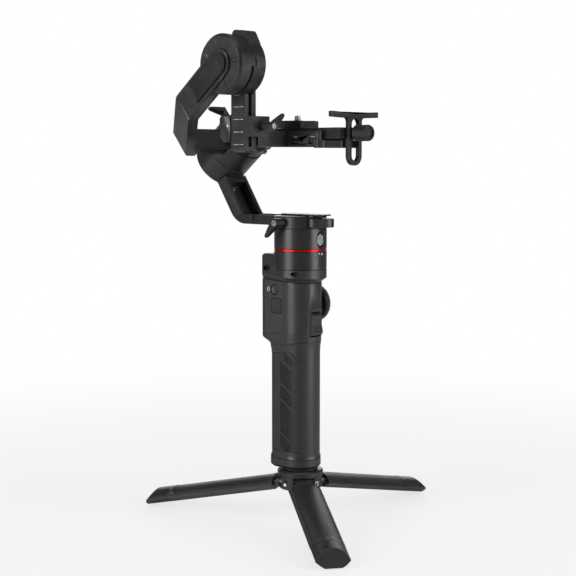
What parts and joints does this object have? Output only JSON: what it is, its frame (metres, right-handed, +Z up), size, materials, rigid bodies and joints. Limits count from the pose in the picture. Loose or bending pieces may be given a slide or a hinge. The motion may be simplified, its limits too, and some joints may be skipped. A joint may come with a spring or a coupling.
{
  "type": "gimbal stabilizer",
  "caption": "Handheld motorised camera stabilizer with pan, roll and tilt motors, sliding balance rails, a camera plate, a lens support and a folding mini tripod.",
  "frame": {"origin": "centre of the tripod hub's flat underside, on the pan axis", "axes": "+Z up along the pan axis; -Y is where the camera's lens points; the tilt motor is on the -X side"},
  "size_m": [0.2673, 0.2826, 0.4503],
  "materials": {
    "black_metal": "satin black anodised",
    "black_plastic": "fine moulded texture",
    "black_rubber": "matte rubber",
    "red_metal": "red anodised",
    "steel": "fine brushed",
    "winding": "enamelled copper",
    "screen": "gloss",
    "board": "solder mask",
    "cell": "shrink sleeve",
    "mark": "printed white"
  },
  "bodies": {
    "handle": {"tripod_hub": "black_metal", "leg_pin_1": "steel", "leg_pin_2": "steel", "leg_pin_3": "steel", "mounting_pad": "black_rubber", "tripod_stud": "steel", "grip_end_cap": "black_plastic", "grip_shell": "black_plastic", "grip_rubber": "black_rubber", "battery_front": "cell", "battery_rear": "cell", "handle_housing": "black_plastic", "side_panel": "black_plastic", "charge_socket": "steel", "display_screen": "screen", "control_board": "board", "collar_base": "black_plastic", "collar": "black_metal", "red_ring": "red_metal", "pan_motor_housing": "black_metal", "pan_stator": "winding", "pan_bearing": "steel"},
    "leg_1": {"leg_1": "black_plastic"},
    "leg_2": {"leg_2": "black_plastic"},
    "leg_3": {"leg_3": "black_plastic"},
    "trigger": {"trigger": "black_plastic"},
    "power_button": {"power_button": "black_plastic"},
    "port_cover": {"port_cover": "black_rubber"},
    "joystick": {"joystick": "black_rubber"},
    "focus_wheel": {"focus_wheel": "black_plastic"},
    "lock_button": {"lock_button": "steel"},
    "pan_head": {"pan_head": "black_metal", "head_plate": "black_metal"},
    "pan_knob": {"pan_knob": "black_metal"},
    "pan_lever": {"pan_lever": "black_metal"},
    "pan_arm": {"pan_arm": "black_metal", "roll_motor_housing": "black_metal", "roll_stator": "winding", "roll_bearing": "steel"},
    "roll_hub": {"roll_rotor": "black_metal", "roll_jaw": "black_metal"},
    "roll_lever": {"roll_lever": "black_metal"},
    "roll_arm": {"roll_arm": "black_metal", "arm_cover": "black_metal", "tilt_motor_housing": "black_metal", "tilt_stator": "winding", "tilt_bearing": "steel"},
    "tilt_hub": {"tilt_rotor": "black_metal", "tilt_rail": "black_metal"},
    "platform": {"rail_bracket": "black_metal", "platform": "black_metal", "usb_port_1": "steel", "usb_port_2": "steel"},
    "rail_lever": {"rail_lever": "black_metal"},
    "slide_plate": {"slide_plate": "black_metal", "camera_plate": "black_metal"},
    "camera_screw": {"camera_screw": "steel"},
    "lens_support": {"lens_support": "black_metal"},
    "lens_knob": {"lens_knob": "black_metal"}
  },
  "joints": [
    {"name": "leg_1_fold", "type": "hinge", "parent": "handle", "child": "leg_1", "pos_m": [-0.00826, -0.01068, 0.0078], "axis": [0.7912, -0.6115, 0], "range_deg": [0, 78]},
    {"name": "leg_2_fold", "type": "hinge", "parent": "handle", "child": "leg_2", "pos_m": [0.01338, -0.00181, 0.0078], "axis": [0.134, 0.991, 0], "range_deg": [0, 78]},
    {"name": "leg_3_fold", "type": "hinge", "parent": "handle", "child": "leg_3", "pos_m": [-0.00512, 0.01249, 0.0078], "axis": [-0.9252, -0.3795, 0], "range_deg": [0, 78]},
    {"name": "trigger_pull", "type": "hinge", "parent": "handle", "child": "trigger", "pos_m": [0, -0.0155, 0.166], "axis": [1, 0, 0], "range_deg": [0, 6], "stiffness_Nm_per_rad": 0.3},
    {"name": "power_button_press", "type": "slide", "parent": "handle", "child": "power_button", "axis": [1, 0, 0], "range_m": [0, 0.0004], "stiffness_N_per_m": 1000},
    {"name": "port_cover_open", "type": "hinge", "parent": "handle", "child": "port_cover", "pos_m": [-0.0202, 0.012, 0.16595], "axis": [0, -1, 0], "range_deg": [0, 95]},
    {"name": "joystick_press", "type": "slide", "parent": "handle", "child": "joystick", "axis": [0, -1, 0], "range_m": [0, 0.0008], "stiffness_N_per_m": 1000},
    {"name": "focus_wheel_turn", "type": "hinge", "parent": "handle", "child": "focus_wheel", "pos_m": [0.0238, 0.002, 0.173], "axis": [1, 0, 0], "continuous": true},
    {"name": "lock_button_press", "type": "slide", "parent": "handle", "child": "lock_button", "axis": [0, 1, 0], "range_m": [0, 0.0012], "stiffness_N_per_m": 1500},
    {"name": "pan", "type": "hinge", "parent": "handle", "child": "pan_head", "pos_m": [0, 0, 0.2502], "axis": [0, 0, 1], "continuous": true},
    {"name": "pan_knob_turn", "type": "hinge", "parent": "pan_head", "child": "pan_knob", "pos_m": [0, -0.0234, 0.25], "axis": [0, 0, 1], "continuous": true},
    {"name": "pan_lever_turn", "type": "hinge", "parent": "pan_head", "child": "pan_lever", "pos_m": [-0.0305, 0, 0.2503], "axis": [1, 0, 0], "range_deg": [0, 90]},
    {"name": "pan_arm_slide", "type": "slide", "parent": "pan_head", "child": "pan_arm", "axis": [0, 1, 0], "range_m": [-0.01, 0.01]},
    {"name": "roll", "type": "hinge", "parent": "pan_arm", "child": "roll_hub", "pos_m": [0, 0.09248, 0.31461], "axis": [0, -0.7771, 0.6293], "range_deg": [-60, 60]},
    {"name": "roll_lever_turn", "type": "hinge", "parent": "roll_hub", "child": "roll_lever", "pos_m": [-0.011, 0.08864, 0.35118], "axis": [0, -0.6293, -0.7771], "range_deg": [0, 80]},
    {"name": "roll_arm_slide", "type": "slide", "parent": "roll_hub", "child": "roll_arm", "axis": [1, 0, 0], "range_m": [-0.012, 0.02]},
    {"name": "tilt", "type": "hinge", "parent": "roll_arm", "child": "tilt_hub", "pos_m": [-0.088, 0, 0.3895], "axis": [-1, 0, 0], "range_deg": [-55, 120]},
    {"name": "platform_slide", "type": "slide", "parent": "tilt_hub", "child": "platform", "axis": [0, 0, -1], "range_m": [-0.016, 0.008]},
    {"name": "rail_lever_turn", "type": "hinge", "parent": "platform", "child": "rail_lever", "pos_m": [-0.0716, -0.027, 0.33645], "axis": [0, -1, 0], "range_deg": [0, 80]},
    {"name": "plate_slide", "type": "slide", "parent": "platform", "child": "slide_plate", "axis": [0, -1, 0], "range_m": [0, 0.035]},
    {"name": "camera_screw_turn", "type": "hinge", "parent": "slide_plate", "child": "camera_screw", "pos_m": [0, 0.00375, 0.342], "axis": [0, 0, 1], "continuous": true},
    {"name": "lens_support_slide", "type": "slide", "parent": "slide_plate", "child": "lens_support", "axis": [0, 0, -1], "range_m": [-0.02, 0.009]},
    {"name": "lens_knob_turn", "type": "hinge", "parent": "slide_plate", "child": "lens_knob", "pos_m": [0, -0.072, 0.331], "axis": [0, 1, 0], "continuous": true}
  ]
}
